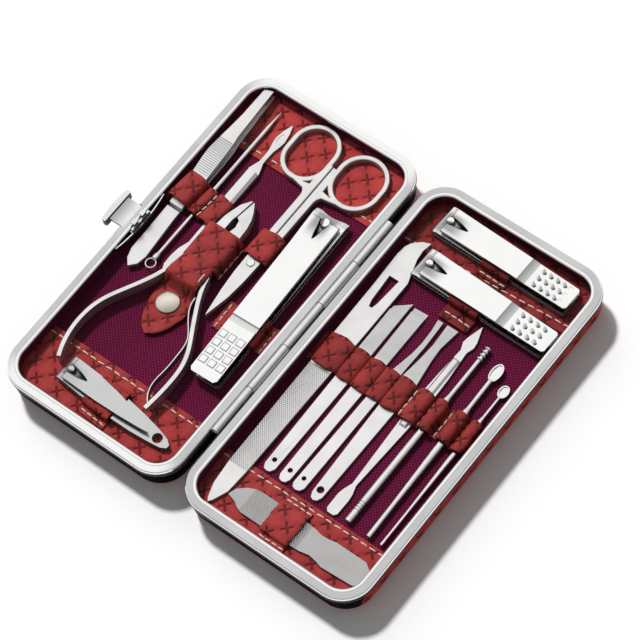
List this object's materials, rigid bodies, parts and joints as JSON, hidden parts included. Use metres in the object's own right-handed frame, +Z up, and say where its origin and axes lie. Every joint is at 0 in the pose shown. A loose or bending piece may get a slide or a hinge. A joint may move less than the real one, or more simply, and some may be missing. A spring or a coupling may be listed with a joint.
{
  "type": "manicure set case",
  "caption": "Two-half hard-shell manicure case, open flat: steel rims, red leather shell, woven lining, strapped-in clippers, scissors, nipper, tweezers, files and picks.",
  "frame": {"origin": "middle of the base half's flat underside, the face it rests on", "axes": "+X across the hinge from the base half to the lid half, +Y along the hinge toward the head end where the scissors' rings and clippers lie, +Z up"},
  "size_m": [0.1725, 0.155, 0.0154],
  "materials": {
    "red_leather": "embossed diamond-grain faux leather",
    "burgundy_fabric": "fine woven lining cloth",
    "satin_rim": "satin flange, polished lip and side wall",
    "hinge_steel": "satin",
    "polished_clipper": "bright polished",
    "satin_tool_steel": "satin",
    "champagne_cap": "pale champagne plating"
  },
  "bodies": {
    "base_half": {"base_shell": "red_leather", "base_rim": "satin_rim", "base_lining": "burgundy_fabric", "base_head_band": "red_leather", "base_foot_band": "red_leather", "base_hinge_leaf": "hinge_steel", "hinge_pin": "hinge_steel", "base_tool_strap": "red_leather", "scissors_strap": "red_leather", "large_clipper_strap": "red_leather", "small_clipper_loop": "red_leather", "nipper_strap_loop": "red_leather", "tweezers_lower_arm": "satin_tool_steel", "comedone_needle": "satin_tool_steel", "spear_pusher": "satin_tool_steel", "scissors_blade_fixed": "satin_tool_steel", "scissors_screw": "satin_tool_steel", "nipper_half_left": "polished_clipper", "nipper_pivot": "polished_clipper", "large_clipper_jaws": "polished_clipper", "large_clipper_post": "polished_clipper", "small_clipper_jaws": "polished_clipper", "small_clipper_post": "polished_clipper"},
    "lid_half": {"lid_shell": "red_leather", "lid_rim": "satin_rim", "lid_lining": "burgundy_fabric", "lid_head_band": "red_leather", "lid_foot_band": "red_leather", "lid_hinge_leaf": "hinge_steel", "lid_tool_strap": "red_leather", "plate_file_strap": "red_leather", "clipper_a_loop": "red_leather", "clipper_b_loop": "red_leather", "nail_file_trimmer": "satin_tool_steel", "slant_knife": "satin_tool_steel", "chisel_knife": "satin_tool_steel", "serrated_knife": "satin_tool_steel", "flat_pusher": "satin_tool_steel", "spear_spatula": "satin_tool_steel", "ring_pick": "satin_tool_steel", "large_spoon": "satin_tool_steel", "small_spoon": "satin_tool_steel", "plate_file": "satin_tool_steel", "clipper_a_jaws": "polished_clipper", "clipper_a_post": "polished_clipper", "clipper_b_jaws": "polished_clipper", "clipper_b_post": "polished_clipper"},
    "latch": {"latch_button": "hinge_steel", "latch_spring": "hinge_steel"},
    "strap_flap": {"nipper_strap_flap": "red_leather", "snap_cap": "champagne_cap"},
    "tweezers_arm": {"tweezers_upper_arm": "satin_tool_steel"},
    "scissors_half": {"scissors_blade_moving": "satin_tool_steel"},
    "nipper_half": {"nipper_half_right": "polished_clipper", "nipper_spring": "polished_clipper"},
    "large_lever": {"large_clipper_lever": "polished_clipper"},
    "small_lever": {"small_clipper_lever": "polished_clipper"},
    "lever_a": {"clipper_a_lever": "polished_clipper"},
    "lever_b": {"clipper_b_lever": "polished_clipper"}
  },
  "joints": [
    {"name": "lid_hinge", "type": "hinge", "parent": "base_half", "child": "lid_half", "pos_m": [0.04185, 0, 0.01365], "axis": [0, -1, 0], "range_deg": [0, 180]},
    {"name": "latch_press", "type": "slide", "parent": "base_half", "child": "latch", "axis": [1, 0, 0], "range_m": [0, 0.0012], "stiffness_N_per_m": 400},
    {"name": "large_lever_lift", "type": "hinge", "parent": "base_half", "child": "large_lever", "pos_m": [0.02162, 0.0387, 0.01215], "axis": [0.9995, 0.0332, 0], "range_deg": [-60, 0]},
    {"name": "small_lever_lift", "type": "hinge", "parent": "base_half", "child": "small_lever", "pos_m": [-0.01726, -0.06036, 0.012], "axis": [0.0663, 0.9978, 0], "range_deg": [-60, 0]},
    {"name": "lever_a_lift", "type": "hinge", "parent": "lid_half", "child": "lever_a", "pos_m": [0.05915, 0.06488, 0.0124], "axis": [0.0279, 0.9996, 0], "range_deg": [-60, 0]},
    {"name": "lever_b_lift", "type": "hinge", "parent": "lid_half", "child": "lever_b", "pos_m": [0.06345, 0.04658, 0.0124], "axis": [0.0279, 0.9996, 0], "range_deg": [-60, 0]},
    {"name": "scissors_open", "type": "hinge", "parent": "base_half", "child": "scissors_half", "pos_m": [0.00825, 0.01115, 0.00935], "axis": [0, 0, 1], "range_deg": [-3, 0]},
    {"name": "nipper_squeeze", "type": "hinge", "parent": "base_half", "child": "nipper_half", "pos_m": [-0.0064, 0.006, 0.01015], "axis": [0, 0, 1], "range_deg": [-1.4, 0], "stiffness_Nm_per_rad": 0.6},
    {"name": "tweezers_squeeze", "type": "hinge", "parent": "base_half", "child": "tweezers_arm", "pos_m": [-0.03015, 0.0144, 0.00915], "axis": [1, 0, 0], "range_deg": [-2, 0], "stiffness_Nm_per_rad": 0.3},
    {"name": "strap_flap_lift", "type": "hinge", "parent": "base_half", "child": "strap_flap", "pos_m": [-0.0064, -0.001, 0.0135], "axis": [1, 0, 0], "range_deg": [-85, 0]}
  ]
}
